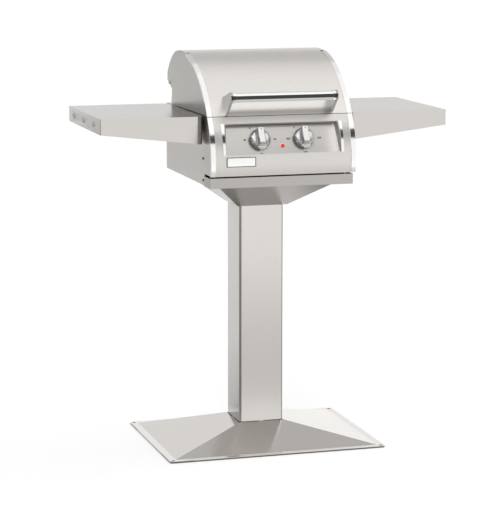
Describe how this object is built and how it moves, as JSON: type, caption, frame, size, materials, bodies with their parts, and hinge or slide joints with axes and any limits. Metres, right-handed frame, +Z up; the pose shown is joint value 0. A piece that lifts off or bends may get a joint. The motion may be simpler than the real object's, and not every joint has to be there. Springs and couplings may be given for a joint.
{
  "type": "electric pedestal grill",
  "caption": "Stainless electric barbecue grill on a bolted-down square post, with a curved hinged lid, a sunk control panel, fold-down side shelves with tool hooks and a sliding drip tray.",
  "frame": {"origin": "centre of the four anchor holes, on the underside of the base plate", "axes": "+Z up along the post, +X to the right seen from the front, +Y to the rear, so the front panel faces -Y"},
  "size_m": [0.9874, 0.5175, 1.1015],
  "materials": {
    "steel_base": "brushed stainless sheet",
    "steel_post": "stainless tube, brushed lengthwise",
    "steel_hopper": "brushed stainless sheet",
    "steel_body": "brushed stainless sheet",
    "steel_liner": "mill finish stainless sheet",
    "steel_panel": "stainless sheet, brushed from side to side",
    "steel_plate": "brushed stainless sheet with printed dials",
    "steel_fascia": "stainless sheet, brushed from side to side",
    "steel_lid": "stainless sheet, brushed from side to side",
    "steel_lid_side": "brushed stainless sheet",
    "steel_shelf": "brushed stainless sheet",
    "steel_shelf_parts": "plain stainless sheet",
    "steel_frame": "plain steel plate",
    "trim_polish": "polished stainless",
    "handle_polish": "polished stainless",
    "handle_arm_polish": "satin polished plate",
    "knob_metal": "satin plated knob",
    "shaft_metal": "turned steel",
    "control_case": "moulded black case",
    "lamp_red": "clear red lens",
    "element_dark": "heat darkened tube",
    "grate_rod": "polished rod",
    "probe_metal": "satin tube",
    "fixing_bright": "plated steel",
    "fixing_dark": "blackened steel",
    "cable_black": "black plastic"
  },
  "bodies": {
    "grill": {"base_plate": "steel_base", "base_cover": "steel_base", "post_tube": "steel_post", "hopper": "steel_hopper", "body_side_left": "steel_body", "body_side_right": "steel_body", "body_rear": "steel_body", "body_floor": "steel_body", "liner": "steel_liner", "reflector": "steel_liner", "grate_rails": "steel_liner", "element_supports": "steel_liner", "tray_runners": "steel_liner", "front_panel": "steel_panel", "recess_frame": "steel_panel", "control_plate": "steel_plate", "shelf_brackets": "steel_shelf_parts", "foot_flange": "steel_frame", "head_plate": "steel_frame", "hinge_ears": "steel_frame", "panel_trim_left": "trim_polish", "panel_trim_right": "trim_polish", "recess_strips": "trim_polish", "name_plate": "trim_polish", "timer_body": "control_case", "thermostat_body": "control_case", "terminal_box": "control_case", "indicator_lamp": "lamp_red", "heating_element": "element_dark", "grate_left": "grate_rod", "grate_right": "grate_rod", "thermostat_probe": "probe_metal", "foot_studs": "fixing_bright", "head_bolts": "fixing_bright", "pivot_bolts": "fixing_bright", "shelf_pins": "fixing_bright", "side_screws": "fixing_dark", "wire_loom": "cable_black", "inlet_gland": "cable_black"},
    "lid": {"lid_skin": "steel_lid", "lid_side_left": "steel_lid_side", "lid_side_right": "steel_lid_side", "lid_rear_panel": "steel_lid_side", "lid_trim_left": "trim_polish", "lid_trim_right": "trim_polish", "trim_end_clips": "fixing_dark", "handle_bar": "handle_polish", "handle_collars": "handle_polish", "handle_arms": "handle_arm_polish", "handle_screws": "fixing_bright"},
    "left_shelf": {"shelf_left": "steel_shelf", "shelf_ribs_left": "steel_shelf_parts"},
    "right_shelf": {"shelf_right": "steel_shelf", "shelf_ribs_right": "steel_shelf_parts"},
    "timer_control": {"timer_shaft": "shaft_metal", "timer_knob": "knob_metal"},
    "thermostat_control": {"thermostat_shaft": "shaft_metal", "thermostat_knob": "knob_metal"},
    "tray": {"drip_tray": "steel_liner", "tray_fascia": "steel_fascia"}
  },
  "joints": [
    {"name": "lid_hinge", "type": "hinge", "parent": "grill", "child": "lid", "pos_m": [0, 0.176, 1.00357], "axis": [-1, 0, 0], "range_deg": [0, 88]},
    {"name": "left_shelf_fold", "type": "hinge", "parent": "grill", "child": "left_shelf", "pos_m": [-0.214, 0, 0.874], "axis": [0, -1, 0], "range_deg": [0, 90]},
    {"name": "right_shelf_fold", "type": "hinge", "parent": "grill", "child": "right_shelf", "pos_m": [0.214, 0, 0.874], "axis": [0, 1, 0], "range_deg": [0, 90]},
    {"name": "timer_turn", "type": "hinge", "parent": "grill", "child": "timer_control", "pos_m": [-0.062, -0.24789, 0.87991], "axis": [0, 0.9063, -0.4226], "range_deg": [0, 300]},
    {"name": "thermostat_turn", "type": "hinge", "parent": "grill", "child": "thermostat_control", "pos_m": [0.062, -0.24789, 0.87991], "axis": [0, 0.9063, -0.4226], "range_deg": [0, 270]},
    {"name": "tray_slide", "type": "slide", "parent": "grill", "child": "tray", "axis": [0, -1, 0], "range_m": [0, 0.28]}
  ]
}
